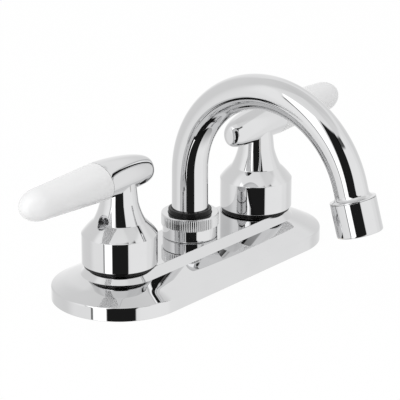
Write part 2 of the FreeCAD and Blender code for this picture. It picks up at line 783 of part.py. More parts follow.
def make_aerator_screen():
    """Woven screen, with square openings in a rim that rests on the housing's lip."""
    bottom = aerator_length - aerator_lip - screen_height
    screen = disc(aerator_shoulder_bore - thread_gap, bottom, bottom + screen_height)
    reach = int(aerator_lip_bore / screen_pitch)
    holes = []
    for column in range(-reach, reach + 1):
        for row in range(-reach, reach + 1):
            if math.hypot(column, row) * screen_pitch < aerator_lip_bore - screen_pitch:
                x = column * screen_pitch - screen_opening / 2
                y = row * screen_pitch - screen_opening / 2
                corner = FreeCAD.Vector(x, y, bottom - 1)
                holes.append(Part.makeBox(screen_opening, screen_opening, screen_height + 2, corner))
    return to_outlet(screen.cut(Part.makeCompound(holes)))


def save(shape, node):
    shape.exportStep("parts/" + node + ".step")
    print(node, "solids", len(shape.Solids), "valid", shape.isValid(), "volume", round(shape.Volume, 1))


os.makedirs("parts", exist_ok=True)

save(make_deck_cover(), "deck_cover")
save(make_base_gasket(), "base_gasket")
save(make_waterway(), "waterway")
washer = make_shank_washer()
save(Part.makeCompound([washer, mirrored(washer, 1)]), "shank_washers")
lock_nut = make_lock_nut()
save(Part.makeCompound([lock_nut, mirrored(lock_nut, 1)]), "shank_lock_nuts")

valve_pieces = {
    "inlet_shank": make_shank(),
    "seat_seal": make_seat_seal(),
    "fixed_disc": make_ceramic_disc(fixed_disc_bottom, 90),
    "moving_disc": make_ceramic_disc(moving_disc_bottom, 0),
    "cartridge_body": make_cartridge_body(),
    "cartridge_ring": make_cartridge_ring(),
    "stem": make_stem(),
    "stem_rings": make_stem_rings(),
    "stem_clip": make_stem_clip(),
    "cover_nut": make_cover_nut(),
    "handle": make_handle(),
    "set_screw": make_set_screw(),
    "grip_stud": stud_bar(stud_radius, 0),
    "grip": make_grip(),
}
for side, sign in (("left", -1), ("right", 1)):
    for piece, shape in valve_pieces.items():
        save(mirrored(shape, sign), side + "_" + piece)

save(make_base_ring(), "spout_base_ring")
save(make_collar_nut(), "collar_nut")
save(make_spout_bush(), "spout_bush")
save(make_spout_ferrule(), "spout_ferrule")
save(make_spout_rings(), "spout_rings")
save(make_spout_retainer(), "spout_retainer")
save(make_spout_tube(), "spout_tube")
save(make_outlet_nose(), "outlet_nose")
save(make_aerator_housing(), "aerator_housing")
save(make_aerator_washer(), "aerator_washer")
save(make_aerator_insert(), "aerator_insert")
save(make_aerator_screen(), "aerator_screen")
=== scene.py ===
# %% [markdown]
# # A two-handle basin mixer tap
#
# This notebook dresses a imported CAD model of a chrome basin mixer: a long deck plate, two bell
# handles with white lever grips, and a swan-neck spout that swivels. The CAD solids are exact but
# faceted, and a mirror shows every facet. So each polished piece is worked out again here as one
# smooth surface of two parameters, at the size that the frame gives.

# %% Load the frame
import json
import math

import bmesh
import bpy
import numpy as np
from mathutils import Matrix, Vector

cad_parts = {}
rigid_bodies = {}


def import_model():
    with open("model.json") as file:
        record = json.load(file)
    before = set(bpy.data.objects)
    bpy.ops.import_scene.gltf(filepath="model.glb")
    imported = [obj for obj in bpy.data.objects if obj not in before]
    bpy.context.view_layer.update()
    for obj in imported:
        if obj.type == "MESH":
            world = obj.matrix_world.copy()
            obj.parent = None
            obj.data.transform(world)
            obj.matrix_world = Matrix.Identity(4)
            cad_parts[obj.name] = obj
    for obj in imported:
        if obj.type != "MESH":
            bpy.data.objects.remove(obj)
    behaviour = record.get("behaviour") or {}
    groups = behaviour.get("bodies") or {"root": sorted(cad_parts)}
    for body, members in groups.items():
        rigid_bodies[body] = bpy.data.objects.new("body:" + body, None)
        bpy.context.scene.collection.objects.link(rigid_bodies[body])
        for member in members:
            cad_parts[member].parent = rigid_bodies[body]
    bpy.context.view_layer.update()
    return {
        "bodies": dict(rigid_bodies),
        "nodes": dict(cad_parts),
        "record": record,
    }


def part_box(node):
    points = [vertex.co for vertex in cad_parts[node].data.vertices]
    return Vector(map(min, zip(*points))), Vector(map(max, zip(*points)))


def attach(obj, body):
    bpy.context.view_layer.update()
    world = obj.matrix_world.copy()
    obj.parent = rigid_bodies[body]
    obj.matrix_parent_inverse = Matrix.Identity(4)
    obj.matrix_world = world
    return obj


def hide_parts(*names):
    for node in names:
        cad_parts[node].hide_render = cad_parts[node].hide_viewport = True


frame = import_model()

MM = 0.001
print("bodies:", ", ".join(frame["bodies"]))
print("nodes:", len(frame["nodes"]))


# %% [markdown]
# ## Reading sizes from the frame
#
# A piece that is made again must sit exactly where its CAD node sits. Reading the node's box is
# safer than typing its numbers twice: when the CAD changes, the new piece follows. The helper
# gives the box in millimetres, because a tap's sizes are easier to read that way.

# %% Box of a node in millimetres
def box_of(node):
    """Lowest and highest corners of a CAD node, in millimetres."""
    low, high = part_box(node)
    return np.array(low) / MM, np.array(high) / MM


def width_of(node, axis):
    """Extent of a node along one axis."""
    low, high = box_of(node)
    return float(high[axis] - low[axis])


X, Y, Z = 0, 1, 2
nut_low, nut_high = box_of("right_cover_nut")
VALVE_X = float(nut_low[X] + nut_high[X]) / 2
print("valve axes at x = +-%.1f mm" % VALVE_X)


# %% [markdown]
# ## From a grid of points to a mesh
#
# Every piece below is a grid: rows run along a profile or a path, columns run round it. The grid
# is worked out with whole numpy arrays. Where a row shrinks to one point, or the first and last
# columns meet, the doubles are merged, so that poles and seams are closed. Edges sharper than a
# set angle stay crisp; all others are shaded smoothly, which is what a polished surface needs.

# %% Grid to mesh
MERGE_DISTANCE = 2e-7                       # metres, far under the least gap between two points


def grid_faces(rows, columns, wrap_rows, wrap_columns):
    """Corner numbers of the quads between neighbouring rows and columns."""
    row = np.arange(rows if wrap_rows else rows - 1)
    column = np.arange(columns if wrap_columns else columns - 1)
    i, j = np.meshgrid(row, column, indexing="ij")
    i_next, j_next = (i + 1) % rows, (j + 1) % columns
    here, after = i * columns, i_next * columns
    corners = [here + j, here + j_next, after + j_next, after + j]
    return np.stack(corners, axis=-1).reshape(-1, 4)


def mesh_piece(name, grids, crisp=30.0):
    """One object from several grids, each (points, wrap_rows, wrap_columns), in millimetres."""
    vertices, faces, start = [], [], 0
    for points, wrap_rows, wrap_columns in grids:
        rows, columns = points.shape[:2]
        vertices.append(points.reshape(-1, 3) * MM)
        faces.append(grid_faces(rows, columns, wrap_rows, wrap_columns) + start)
        start += rows * columns
    mesh = bpy.data.meshes.new(name)
    mesh.from_pydata(np.concatenate(vertices).tolist(), [], np.concatenate(faces).tolist())
    work = bmesh.new()
    work.from_mesh(mesh)
    bmesh.ops.remove_doubles(work, verts=work.verts, dist=MERGE_DISTANCE)
    bmesh.ops.recalc_face_normals(work, faces=work.faces)
    work.to_mesh(mesh)
    work.free()
    mesh.shade_smooth()
    mesh.set_sharp_from_angle(angle=math.radians(crisp))
    piece = bpy.data.objects.new(name, mesh)
    bpy.context.scene.collection.objects.link(piece)
    return piece


# %% [markdown]
# ## Turned pieces
#
# Most tap parts come off a lathe, so their form is one outline turned about an axis. The outline
# is a list of corners, each with its own small radius. A real edge is never perfectly sharp, and
# the tiny round is what catches the light. One extra point on each side of a round keeps the flat
# faces truly flat when the normals are smoothed.

# %% Outlines with rounded corners
LONGEST_REACH = 0.49                        # of an edge that the round at its end may use up


def guard_step(radius, reach):
    """How far beyond a round its extra point lies, in millimetres."""
    return min(0.3 * radius, 0.01 * reach + 0.02)


def rounded_outline(corners, closed=False, steps=8):
    """Points of a polyline whose corners (radius, height, round) are replaced by arcs."""
    corners = np.array(corners, dtype=float)
    count = len(corners)
    points = []
    for index in range(count):
        here, size = corners[index, :2], corners[index, 2]
        inner = closed or 0 < index < count - 1
        if not inner or size <= 0:
            points.append(here)
            continue
        before = corners[index - 1, :2] - here
        after = corners[(index + 1) % count, :2] - here
        reach_before, reach_after = np.linalg.norm(before), np.linalg.norm(after)
        before, after = before / reach_before, after / reach_after
        half = math.acos(max(-1.0, min(1.0, float(before @ after)))) / 2
        reach = min(size / math.tan(half), LONGEST_REACH * reach_before, LONGEST_REACH * reach_after)
        radius = reach * math.tan(half)
        middle = (before + after) / np.linalg.norm(before + after)
        centre = here + middle * radius / math.sin(half)
        start, end = here + before * reach, here + after * reach
        points.append(start + before * guard_step(radius, reach_before))
        share = np.linspace(0, 1, steps + 1)[:, None]
        a, b = start - centre, end - centre
        spread = math.acos(max(-1.0, min(1.0, float(a @ b) / radius ** 2)))
        blend = (np.sin((1 - share) * spread) * a + np.sin(share * spread) * b) / math.sin(spread)
        points.extend(centre + blend)
        points.append(end + after * guard_step(radius, reach_after))
    return np.array(points)


def smooth_step(value):
    """0 below 0, 1 above 1, and 3v^2 - 2v^3 between."""
    value = np.clip(value, 0.0, 1.0)
    return value * value * (3 - 2 * value)


def turned(outline, columns=192, x=0.0, y=0.0):
    """Surface of revolution: (r cos a, r sin a, z) for each outline point (r, z) and angle a."""
    angle = np.linspace(0, 2 * np.pi, columns, endpoint=False)
    radius, height = outline[:, :1], outline[:, 1:]
    return np.stack([x + radius * np.cos(angle), y + radius * np.sin(angle),
                     height + 0 * angle], axis=-1)


# %% [markdown]
# ## Shader maths as plain expressions
#
# Node trees are easier to read when they are written like sums. The small class wraps a socket:
# adding or multiplying two of them adds the matching Math node. Colours go through Mix nodes,
# because a Math node would turn a colour grey.

# %% Sockets that add and multiply
class Value:
    """A number that varies over the surface, as the output socket of a node."""

    def __init__(self, paint, socket):
        self.paint = paint
        self.socket = socket

    def join(self, operation, other=None, flip=False):
        operands = [self] if other is None else [self, other]
        if flip:
            operands.reverse()
        return self.paint.node("ShaderNodeMath", {"operation": operation}, *operands)

    def __add__(self, other):
        return self.join("ADD", other)

    def __radd__(self, other):
        return self.join("ADD", other, flip=True)

    def __sub__(self, other):
        return self.join("SUBTRACT", other)

    def __rsub__(self, other):
        return self.join("SUBTRACT", other, flip=True)

    def __mul__(self, other):
        return self.join("MULTIPLY", other)

    def __rmul__(self, other):
        return self.join("MULTIPLY", other, flip=True)

    def ramp(self, low, high):
        """0 below low, 1 above high, and a smooth step between."""
        settings = {"interpolation_type": "SMOOTHSTEP"}
        return self.paint.node("ShaderNodeMapRange", settings, self, low, high)

    def between(self, low, high, soft):
        """1 inside a band and 0 outside it, with soft edges."""
        return self.ramp(low - soft, low + soft) * (1 - self.ramp(high - soft, high + soft))


class Paint:
    """Writes the node tree of one material or world."""

    def __init__(self, owner):
        owner.use_nodes = True
        self.tree = owner.node_tree
        self.tree.nodes.clear()

    def node(self, kind, settings=None, *inputs, out=0, **named):
        """Any node: its settings first, then the values or links of its sockets."""
        made = self.tree.nodes.new(kind)
        for key, value in (settings or {}).items():
            setattr(made, key, value)
        for index, value in enumerate(inputs):
            self.feed(made.inputs[index], value)
        for key, value in named.items():
            self.feed(made.inputs[key.replace("_", " ")], value)
        return Value(self, made.outputs[out] if len(made.outputs) else None)

    def feed(self, socket, value):
        if isinstance(value, Value):
            self.tree.links.new(value.socket, socket)
        else:
            socket.default_value = value

    def noise(self, vector, scale, detail=3.0, roughness=0.55):
        return self.node("ShaderNodeTexNoise", None, Vector=vector, Scale=scale, Detail=detail,
                         Roughness=roughness)

    def mix(self, share, first, second):
        """Colour between two colours."""
        made = self.tree.nodes.new("ShaderNodeMix")
        made.data_type = "RGBA"
        for index, value in ((0, share), (6, first), (7, second)):
            self.feed(made.inputs[index], value)
        return Value(self, made.outputs[2])

    def object_place(self):
        """Object coordinates, in metres: the third output of the node."""
        return self.node("ShaderNodeTexCoord", None, out=3)

    def bump(self, height, strength, distance):
        return self.node("ShaderNodeBump", None, Height=height, Strength=strength,
                         Distance=distance)

    def surface(self, **sockets):
        """Adds the principled shader and the output."""
        shader = self.node("ShaderNodeBsdfPrincipled", None, **sockets)
        self.node("ShaderNodeOutputMaterial", None, shader)


def grey(level):
    """A colour without a tint."""
    return (level, level, level, 1.0)


# %% [markdown]
# ## Chrome
#
# Bright chrome is a thin plate over polished metal. It has no colour of its own to speak of, a
# slight cold tint, and it mirrors the room. What makes it look real is what is not perfect: the
# polish varies a little, there are hairlines from wiping, and the buffed metal under the plate
# waves very gently. These go into Roughness and a faint bump.

# %% Chrome material
CHROME_BRIGHT = (0.718, 0.72, 0.725, 1.0)
CHROME_DULL = (0.698, 0.70, 0.706, 1.0)
BEST_POLISH = 0.018                         # roughness where nothing dulls the plate
CLOUD_DULLS, HAZE_DULLS, HAIRLINE_DULLS = 0.022, 0.02, 0.03
CLOUD_SCALE, HAZE_SCALE, WAVE_SCALE = 45.0, 260.0, 60.0
HAIRLINE_STRETCH = (900.0, 900.0, 60.0)     # fine across the wiping, long along it


def chrome_material():
    """Roughness = best polish + clouds + haze + hairlines; a faint wave tilts the mirror."""
    material = bpy.data.materials.new("polished_chrome")
    paint = Paint(material)
    place = paint.object_place()
    cloud = paint.noise(place, CLOUD_SCALE, 4.0)
    haze = paint.noise(place, HAZE_SCALE, 5.0, 0.65)
    stretched = paint.node("ShaderNodeMapping", None, Vector=place, Scale=HAIRLINE_STRETCH)
    hairline = paint.noise(stretched, 1.0, 2.0).ramp(0.66, 0.74)
    roughness = BEST_POLISH + CLOUD_DULLS * cloud.ramp(0.45, 0.75)
    roughness = roughness + HAZE_DULLS * haze.ramp(0.55, 0.8) + HAIRLINE_DULLS * hairline
    wave = paint.noise(place, WAVE_SCALE, 1.0)
    normal = paint.bump(wave, 0.04, 0.0002)
    tint = paint.mix(cloud.ramp(0.35, 0.75), CHROME_BRIGHT, CHROME_DULL)
    paint.surface(Base_Color=tint, Metallic=1.0, Roughness=roughness, Normal=normal)
    return material


CHROME = chrome_material()


# %% [markdown]
# ## White grip plastic
#
# The grips are a dense white acrylic, smooth and moderately glossy. Light that scattered under the
# skin would soften the shading a little more, but on a piece this pale it only adds noise, so a
# plain colour carries it, kept well under full white so that the lit end doesn't clip. Fine
# moulding ripples and faint handling marks break the gloss.

# %% Grip material
GRIP_LIGHT = (0.755, 0.755, 0.758, 1.0)
GRIP_SHADE = (0.735, 0.735, 0.738, 1.0)
GRIP_GLOSS, CLOUD_BLUNTS, MARKS_BLUNT = 0.20, 0.05, 0.08
ACRYLIC_IOR = 1.49


def grip_material():
    """Colour between two near whites; roughness = gloss + clouds + handling marks."""
    material = bpy.data.materials.new("white_acrylic")
    paint = Paint(material)
    place = paint.object_place()
    cloud = paint.noise(place, 30.0, 3.0)
    marks = paint.noise(place, 500.0, 4.0, 0.7).ramp(0.6, 0.8)
    colour = paint.mix(cloud.ramp(0.3, 0.7), GRIP_LIGHT, GRIP_SHADE)
    roughness = GRIP_GLOSS + CLOUD_BLUNTS * cloud + MARKS_BLUNT * marks
    normal = paint.bump(paint.noise(place, 90.0, 2.0), 0.04, 0.0003)
    paint.surface(Base_Color=colour, Roughness=roughness, IOR=ACRYLIC_IOR, Normal=normal)
    return material


WHITE_GRIP = grip_material()


# %% [markdown]
# ## Black plastic, rubber, brass, steel and ceramic
#
# The small parts each get the marks of how they are made: a moulded grain on plastic, a dusty
# matt skin on rubber, turning rings on brass and on steel, and a fine lapped speckle on the
# ceramic discs.

# %% Materials of the small parts
SPECK_DEPTH = 0.14                          # swing of the roughness with the grain
RING_DEPTH = 0.12                           # the same with the turning rings
LATHE_STRETCH = 20.0                        # features per metre across the axis


def moulded_material(name, dark, light, rough, grain, sheen=0.5):
    """Moulded plastic or rubber: a fine grain in colour, roughness and height."""
    material = bpy.data.materials.new(name)
    paint = Paint(material)
    place = paint.object_place()
    speck = paint.noise(place, grain, 4.0, 0.6)
    cloud = paint.noise(place, 60.0, 2.0)
    colour = paint.mix(cloud.ramp(0.3, 0.7), dark, light)
    normal = paint.bump(speck, 0.25, 0.0001)
    paint.surface(Base_Color=colour, Roughness=rough + SPECK_DEPTH * (speck - 0.5),
                  Normal=normal, Specular_IOR_Level=sheen)
    return material


def turned_metal_material(name, colour, shade, rough, rings):
    """Machined metal: fine rings across the vertical axis, and a slightly uneven tone."""
    material = bpy.data.materials.new(name)
    paint = Paint(material)
    place = paint.object_place()
    squeezed = paint.node("ShaderNodeMapping", None, Vector=place,
                          Scale=(LATHE_STRETCH, LATHE_STRETCH, rings))
    ring_mark = paint.noise(squeezed, 1.0, 2.0)
    cloud = paint.noise(place, 70.0, 3.0)
    tone = paint.mix(cloud.ramp(0.3, 0.7), colour, shade)
    normal = paint.bump(ring_mark, 0.12, 0.0001)
    roughness = rough + RING_DEPTH * ring_mark.ramp(0.4, 0.7)
    paint.surface(Base_Color=tone, Metallic=1.0, Roughness=roughness, Normal=normal)
    return material


BLACK_PLASTIC = moulded_material("black_plastic", grey(0.006), grey(0.010), 0.26, 1500.0, 0.22)
BLACK_RUBBER = moulded_material("black_rubber", grey(0.018), grey(0.030), 0.62, 900.0)
WHITE_PLASTIC = moulded_material("white_plastic", grey(0.70), grey(0.74), 0.42, 1200.0)
CERAMIC = moulded_material("white_ceramic", (0.82, 0.80, 0.76, 1.0), (0.86, 0.85, 0.82, 1.0),
                           0.22, 2200.0)
BRASS = turned_metal_material("raw_brass", (0.78, 0.55, 0.25, 1.0), (0.70, 0.48, 0.21, 1.0),
                              0.22, 3500.0)
STEEL = turned_metal_material("bright_steel", (0.62, 0.62, 0.63, 1.0), (0.54, 0.54, 0.55, 1.0),
                              0.24, 3000.0)


SLOT_MATERIALS = {
    "chrome": CHROME,
    "white_grip": WHITE_GRIP,
    "black_plastic": BLACK_PLASTIC,
    "black_rubber": BLACK_RUBBER,
    "raw_brass": BRASS,
    "steel": STEEL,
    "white_ceramic": CERAMIC,
    "white_plastic": WHITE_PLASTIC,
}


# %% Paint the CAD nodes
slot_of_node = {part["node"]: part["material_slot"] for part in frame["record"]["subparts"]}
for node, cad_object in frame["nodes"].items():
    cad_object.data.materials.clear()
    cad_object.data.materials.append(SLOT_MATERIALS[slot_of_node[node]])
print("CAD nodes painted:", len(frame["nodes"]))


# %% [markdown]
# ## Putting a piece in place
#
# A new piece takes its slot from the CAD node that it stands for, rides on the same body, and
# hides the node. One helper does all of that, so no piece can be left behind when a joint turns.

# %% Dress a node
body_of_node = {}
for body, members in frame["record"]["behaviour"]["bodies"].items():
    for node in members:
        body_of_node[node] = body


def dress(piece, *nodes):
    """Gives the piece the material, slot and body of its first node, and hides the nodes."""
    slot = slot_of_node[nodes[0]]
    piece.data.materials.append(SLOT_MATERIALS[slot])
    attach(piece, body_of_node[nodes[0]])
    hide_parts(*nodes)
    print("%-24s %6d faces, rides on %s"
          % (piece.name, len(piece.data.polygons), body_of_node[nodes[0]]))


# %% [markdown]
# ## Deck cover
#
# The cover is a die-cast plate with round ends. From its flat top a chamfer falls to a crease, and
# from the crease a slightly swollen slope runs out into the rim, all the way round. A plate like
# this could be pushed out of boxes and bevelled, but a bevel would not give the swelling that the
# mirror shows. Here one outline is written down once and carried along rays that leave the line
# between the two valves: straight ahead along the sides, and turning like a fan at the ends.

# %% Cover sizes
cover_high = box_of("deck_cover")[1]
HALF_WIDTH = float(cover_high[Y])
COVER_TOP = float(cover_high[Z])
COVER_WALL = 2.0
FLAT_HALF = 14.5
TOP_INSET, CEILING_INSET = 1.0, 1.5         # from the flat's edge to the pierced top and ceiling
EDGE_ROUND = 0.5
CREASE_HALF, CREASE_TOP, CREASE_ROUND = 17.9, 11.93, 0.8
SWELL_HALF, SWELL_TOP, SWELL_ROUND = 24.7, 9.62, 34.0
RIM_TOP, RIM_ROUND = 6.4, 1.0
FOOT_ROUND = 0.25
SLOPE_STEPS = 24                            # points on each round of the visible skin
VALVE_HOLE = 13.07
RISER_HOLE = 11.47
print("cover: %.1f mm wide, %.1f mm high" % (2 * HALF_WIDTH, COVER_TOP))


# %% The cover's outline
def cover_outline():
    """(distance, height) rows: flat edge, chamfer, hollow crease, swollen slope, rim and skirt."""
    return rounded_outline([
        (FLAT_HALF - TOP_INSET, COVER_TOP, 0), (FLAT_HALF, COVER_TOP, EDGE_ROUND),
        (CREASE_HALF, CREASE_TOP, CREASE_ROUND), (SWELL_HALF, SWELL_TOP, SWELL_ROUND),
        (HALF_WIDTH, RIM_TOP, RIM_ROUND), (HALF_WIDTH, 0.0, FOOT_ROUND),
        (HALF_WIDTH - COVER_WALL, 0.0, 0)], steps=SLOPE_STEPS)


def cover_lining():
    """The same way back on the inside: one wall lower, and further in where the skin slopes."""
    return rounded_outline([
        (HALF_WIDTH - COVER_WALL, 0.0, 0),
        (HALF_WIDTH - COVER_WALL, RIM_TOP - COVER_WALL, 0.4),
        (SWELL_HALF - 0.7, SWELL_TOP - COVER_WALL, 4.0),
        (CREASE_HALF - 1.6, CREASE_TOP - COVER_WALL, 0.8),
        (FLAT_HALF - 1.2, COVER_TOP - COVER_WALL, 0.4),
        (FLAT_HALF - CEILING_INSET, COVER_TOP - COVER_WALL, 0)])


# %% Rays round the plate
STRAIGHT_STEPS = 100                        # along each side, a multiple of four
ARC_STEPS = 110                             # round each end, an even number


def stadium_rays():
    """Start points on the line between the valves and outward unit rays, right round the plate."""
    along = np.linspace(-VALVE_X, VALVE_X, STRAIGHT_STEPS, endpoint=False)
    turn = np.linspace(-np.pi / 2, np.pi / 2, ARC_STEPS, endpoint=False)
    zero, one = np.zeros_like(along), np.ones_like(along)
    base_x = np.concatenate([along, VALVE_X + 0 * turn, -along, -VALVE_X + 0 * turn])
    ray_x = np.concatenate([zero, np.cos(turn), zero, -np.cos(turn)])
    ray_y = np.concatenate([-one, np.sin(turn), one, -np.sin(turn)])
    return base_x, ray_x, ray_y


def carried_round(outline):
    """Grid of the outline along every ray: base + distance x ray, at the outline's height."""
    base_x, ray_x, ray_y = stadium_rays()
    distance, height = outline[:, :1], outline[:, 1:]
    return np.stack([base_x + ray_x * distance, ray_y * distance, height + 0 * base_x], axis=-1)


# %% Flat top with its three holes
DIVIDER_POINTS = 41
PATCH_ROWS = np.array([0.0, 0.02, 0.5, 0.98, 1.0])[:, None, None]


def pierced_plate(ring, half_width):
    """Flat patches between a ring of points and the three holes, and the rim of each hole.

    Two dividers halfway to the valves split the plate. Each row of a patch is a blend
    hole x (1 - share) + border x share of the hole's rim and the patch's border.
    """
    right = STRAIGHT_STEPS + ARC_STEPS
    quarter = STRAIGHT_STEPS // 4
    count = len(ring)
    split = np.linspace(-1, 1, DIVIDER_POINTS)[1:-1, None]
    lines = {}
    for side in (-1, 1):
        middle_point = np.array([side * VALVE_X / 2, 0.0, ring[0, 2]])
        lines[side] = middle_point + split * np.array([0.0, half_width, 0.0])
    right_part = ring[np.arange(3 * quarter, right + quarter + 1)]
    left_part = ring[np.arange(right + 3 * quarter, count + quarter + 1) % count]
    near = ring[np.arange(quarter, 3 * quarter + 1)]
    far = ring[np.arange(right + quarter, right + 3 * quarter + 1)]
    borders = [(VALVE_X, VALVE_HOLE, np.concatenate([right_part, lines[1][::-1]])),
               (0.0, RISER_HOLE, np.concatenate([near, lines[1], far, lines[-1][::-1]])),
               (-VALVE_X, VALVE_HOLE, np.concatenate([left_part, lines[-1]]))]
    patches = []
    for centre_x, radius, border in borders:
        centre = np.array([centre_x, 0.0, ring[0, 2]])
        spoke = border - centre
        length = np.linalg.norm(spoke, axis=1, keepdims=True)
        hole = centre + spoke / length * radius
        patches.append((hole * (1 - PATCH_ROWS) + border * PATCH_ROWS, hole))
    return patches


# %% Cover surface
def cover_grids():
    """Outer skin, foot and lining as one grid, then pierced top, ceiling and the holes' walls."""
    outer, lining = carried_round(cover_outline()), carried_round(cover_lining())
    grids = [(np.concatenate([outer, lining[1:]]), False, True)]
    tops = pierced_plate(outer[0], FLAT_HALF - TOP_INSET)
    ceilings = pierced_plate(lining[-1], FLAT_HALF - CEILING_INSET)
    for (top, top_hole), (ceiling, ceiling_hole) in zip(tops, ceilings):
        grids.append((top, False, True))
        grids.append((ceiling, False, True))
        grids.append((np.stack([top_hole, ceiling_hole]), False, True))
    return grids


deck_cover = mesh_piece("deck_cover_shell", cover_grids(), crisp=40.0)
dress(deck_cover, "deck_cover")


# %% [markdown]
# ## Bell handles
#
# Each handle is one casting: a bell that hides the valve, a slim neck, and the chrome hub of the
# lever. The bell is a turned outline. The hub is a spindle along the lever's axis whose section
# changes from a soft rounded square to a circle at the joint with the grip. The two closed forms
# run into each other with a crisp line, just as the casting does.

# %% Handle sizes
handle_low, handle_high = box_of("right_handle")
grip_low, grip_high = box_of("right_grip")
LEVER_HEIGHT = float(grip_low[Z] + grip_high[Z]) / 2
BELL_BOTTOM = float(handle_low[Z])
BELL_RADIUS = (handle_high[Y] - handle_low[Y]) / 2
HUB_INNER = float(VALVE_X - handle_low[X])
GRIP_TIP = float(grip_high[X] - VALVE_X)
BELL_EDGE = 31.2
BELL_WALL, BELL_CEILING = 2.0, 30.0
SHOULDER_MIDDLE, SHOULDER_TOP = (14.8, 34.4), (11.9, 37.3)
COVE_MIDDLE, NECK_FOOT, NECK_TOP = (10.15, 41.2), (8.75, 46.0), 7.4
FULL_RADIUS = 9.1
TIP_RADIUS = 6.9
CAP_LENGTH = 10.0
SEAM = 13.7                                 # from the valve axis to the joint of hub and grip
SEAM_LEAN = math.radians(12.0)
SEAM_GAP = 0.08                             # from the joint's middle to each piece
HUB_POWER = 1.5
HEIGHT_BLUNTNESS, WIDTH_BLUNTNESS = 0.193, 0.241
HUB_WAIST = 0.05
HUB_DROOP = 2.5
FACE_ROWS = np.array([0.97, 0.6, 0.0])[:, None, None]       # inwards over a closed joint face
LEVER_ROWS = 90
print("lever: %.1f mm from its axis to the tip, %.1f mm high" % (GRIP_TIP, LEVER_HEIGHT))


# %% Bell outline
def arc_points(start, through, end, steps):
    """Points of the circle through three points, from the first to the last."""
    (ax, ay), (bx, by), (cx, cy) = start, through, end
    d = 2 * (ax * (by - cy) + bx * (cy - ay) + cx * (ay - by))
    a2, b2, c2 = ax * ax + ay * ay, bx * bx + by * by, cx * cx + cy * cy
    ux = (a2 * (by - cy) + b2 * (cy - ay) + c2 * (ay - by)) / d
    uy = (a2 * (cx - bx) + b2 * (ax - cx) + c2 * (bx - ax)) / d
    first = math.atan2(ay - uy, ax - ux)
    middle = math.atan2(by - uy, bx - ux)
    last = math.atan2(cy - uy, cx - ux)
    middle = first + (middle - first + math.pi) % (2 * math.pi) - math.pi
    last = middle + (last - middle + math.pi) % (2 * math.pi) - math.pi
    radius = math.hypot(ax - ux, ay - uy)
    angle = np.linspace(first, last, steps)
    return np.stack([ux + radius * np.cos(angle), uy + radius * np.sin(angle)], axis=-1)


def bell_outline():
    """Inner skirt, bottom rim, cylinder, swelling shoulder, cove and neck, up into the hub."""
    inner = BELL_RADIUS - BELL_WALL
    lower = rounded_outline([
        (0, BELL_CEILING, 0), (inner, BELL_CEILING, 0.5), (inner, BELL_BOTTOM, 0.25),
        (BELL_RADIUS, BELL_BOTTOM, 0.25), (BELL_RADIUS, BELL_EDGE, 0.35), SHOULDER_TOP + (0,)])[:-1]
    shoulder = arc_points((lower[-1][0], lower[-1][1]), SHOULDER_MIDDLE, SHOULDER_TOP, 28)[1:]
    cove = arc_points(SHOULDER_TOP, COVE_MIDDLE, NECK_FOOT, 30)[1:]
    neck_z = np.linspace(NECK_FOOT[1], LEVER_HEIGHT, 14)[1:]
    slope = (NECK_TOP - NECK_FOOT[0]) / (LEVER_HEIGHT - NECK_FOOT[1])
    neck = np.stack([NECK_FOOT[0] + slope * (neck_z - NECK_FOOT[1]), neck_z], axis=-1)
    return np.concatenate([lower, shoulder, cove, neck, [[0, LEVER_HEIGHT]]])


# %% Lever form
def hub_ring(share):
    """Half width, half height and drop of the hub: 0 at the joint with the grip, 1 at the end."""
    end = np.maximum(1 - share ** HUB_POWER, 0)
    width = FULL_RADIUS * (1 - HUB_WAIST * share) * end ** WIDTH_BLUNTNESS
    return width, FULL_RADIUS * end ** HEIGHT_BLUNTNESS, HUB_DROOP * share ** 2


def lever_rows(distance, angle, side):
    """Points (x, y, z) of the lever: ellipses in the hub, shrinking circles in the grip."""
    share_in = np.clip((SEAM - distance) / (SEAM + HUB_INNER), 0, 1)
    width, height, drop = hub_ring(share_in)
    share_out = np.clip((distance - SEAM) / (GRIP_TIP - SEAM), 0, 1)
    cap = np.clip((distance - GRIP_TIP + CAP_LENGTH) / CAP_LENGTH, 0, 1)
    taper = (1 + (TIP_RADIUS / FULL_RADIUS - 1) * share_out) * np.sqrt(1 - cap ** 2)
    return np.stack([side * (VALVE_X + distance), width * taper * np.cos(angle),
                     LEVER_HEIGHT - drop + height * taper * np.sin(angle)], axis=-1)


def hub_grid(side, columns=160):
    """Rows crowd towards the blunt inner end; the last rows close the leaning joint face."""
    angle = np.linspace(0, 2 * np.pi, columns, endpoint=False)[None, :]
    share = 1 - np.cos(np.linspace(0, np.pi / 2, LEVER_ROWS))[:, None]
    seam = SEAM + math.tan(SEAM_LEAN) * FULL_RADIUS * np.sin(angle) - SEAM_GAP
    distance = -HUB_INNER + (seam + HUB_INNER) * share
    points = lever_rows(distance, angle + 0 * share, side)
    centre = np.array([side * (VALVE_X + SEAM - SEAM_GAP), 0, LEVER_HEIGHT])
    return np.concatenate([points, centre + (points[-1:] - centre) * FACE_ROWS])


def grip_grid(side, columns=128):
    """Closed at the leaning joint face; its rows crowd towards the rounded tip."""
    angle = np.linspace(0, 2 * np.pi, columns, endpoint=False)[None, :]
    share = np.sin(np.linspace(0, np.pi / 2, LEVER_ROWS))[:, None]
    seam = SEAM + math.tan(SEAM_LEAN) * FULL_RADIUS * np.sin(angle) + SEAM_GAP
    distance = seam + (GRIP_TIP - seam) * share
    points = lever_rows(distance, angle + 0 * share, side)
    centre = np.array([side * (VALVE_X + SEAM + SEAM_GAP), 0, LEVER_HEIGHT])
    return np.concatenate([centre + (points[:1] - centre) * FACE_ROWS[::-1], points])


